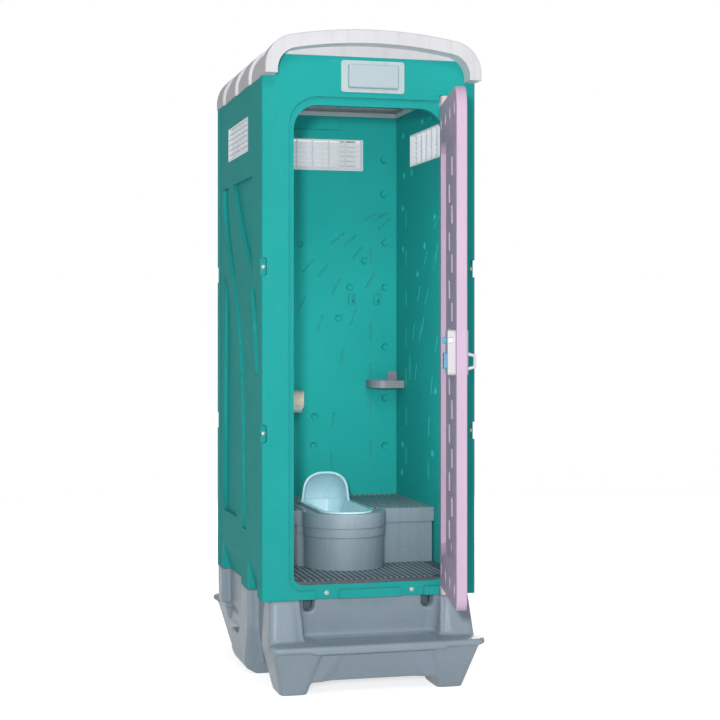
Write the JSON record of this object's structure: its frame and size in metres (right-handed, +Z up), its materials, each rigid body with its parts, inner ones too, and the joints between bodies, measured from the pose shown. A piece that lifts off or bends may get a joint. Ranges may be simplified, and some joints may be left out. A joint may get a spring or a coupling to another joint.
{
  "type": "portable toilet cabin",
  "caption": "Portable squat toilet cabin on a waste tank, with a hinged door standing open, arched roof, louvred vents, lamp, lock and fittings.",
  "frame": {"origin": "centre of the bounding box's base, on the ground, with the door open at rest", "axes": "+X to the right along the front, +Y from the front to the rear, +Z up"},
  "size_m": [0.894, 1.8772, 2.6489],
  "materials": {
    "tank_grey": "satin rotomoulded",
    "wall_green": "satin moulded",
    "grille_white": "satin moulded",
    "roof_white": "satin",
    "door_pink": "satin",
    "pivot_pink": "satin",
    "floor_grey": "ribbed satin",
    "platform_grey": "ribbed satin",
    "bowl_blue": "gloss",
    "lamp_frame": "satin",
    "lamp_lens": "translucent",
    "shelf_grey": "satin",
    "holder_cream": "gloss",
    "paper_white": "soft",
    "lock_white": "gloss",
    "lock_blue": "gloss",
    "indicator": "gloss",
    "pipe_grey": "satin",
    "steel": "zinc plated"
  },
  "bodies": {
    "cabin": {"waste_tank": "tank_grey", "tank_deck": "tank_grey", "pump_out_neck": "pipe_grey", "pump_lid_pin": "steel", "floor_pan": "floor_grey", "platform_base": "platform_grey", "platform_top": "platform_grey", "squat_bowl": "bowl_blue", "drop_chute": "pipe_grey", "front_panel": "wall_green", "left_panel": "wall_green", "right_panel": "wall_green", "rear_panel": "wall_green", "front_corner_bolts": "steel", "rear_corner_bolts": "steel", "sill_bolts": "steel", "vent_grille_left": "grille_white", "vent_grille_right": "grille_white", "vent_grille_rear": "grille_white", "roof": "roof_white", "lamp_housing": "lamp_frame", "lamp_lens": "lamp_lens", "lamp_screws": "steel", "door_top_pivot": "pivot_pink", "door_bottom_pivot": "pivot_pink", "corner_shelf": "shelf_grey", "coat_hooks": "wall_green", "paper_bracket": "holder_cream", "paper_spindle": "holder_cream", "paper_flap_pin": "steel", "vent_stack": "pipe_grey", "vent_stack_cap": "pipe_grey", "vent_stack_clips": "pipe_grey"},
    "door": {"door_panel": "door_pink", "lock_case": "lock_white", "inner_grip": "lock_blue", "outer_plate": "lock_white", "outer_handle": "lock_blue"},
    "lock_knob": {"turn_knob": "lock_blue", "lock_spindle": "steel", "indicator_disc": "indicator"},
    "lock_slide": {"lock_bolt": "steel"},
    "roll": {"paper_roll": "paper_white"},
    "roll_flap": {"paper_flap": "holder_cream"},
    "pump_lid": {"pump_out_lid": "pipe_grey"}
  },
  "joints": [
    {"name": "door_swing", "type": "hinge", "parent": "cabin", "child": "door", "pos_m": [0.313, -0.30335, 1.385], "axis": [0, 0, 1], "range_deg": [-78, 32]},
    {"name": "knob_turn", "type": "hinge", "parent": "door", "child": "lock_knob", "pos_m": [0.14463, -0.855, 1.412], "axis": [-0.9781, 0.2079, 0], "range_deg": [0, 90]},
    {"name": "bolt_slide", "type": "slide", "parent": "door", "child": "lock_slide", "axis": [-0.2079, -0.9781, 0], "range_m": [0, 0.024]},
    {"name": "roll_spin", "type": "hinge", "parent": "cabin", "child": "roll", "pos_m": [-0.134, 0.67035, 1.115], "axis": [1, 0, 0], "continuous": true},
    {"name": "flap_lift", "type": "hinge", "parent": "cabin", "child": "roll_flap", "pos_m": [-0.134, 0.71435, 1.162], "axis": [-1, 0, 0], "range_deg": [0, 75]},
    {"name": "lid_lift", "type": "hinge", "parent": "cabin", "child": "pump_lid", "pos_m": [-0.178, 0.83865, 0.258], "axis": [0, -1, 0], "range_deg": [0, 110]}
  ],
  "couplings": [
    {"joint": "knob_turn", "follows": "bolt_slide", "rad_per_m": 65.45}
  ]
}
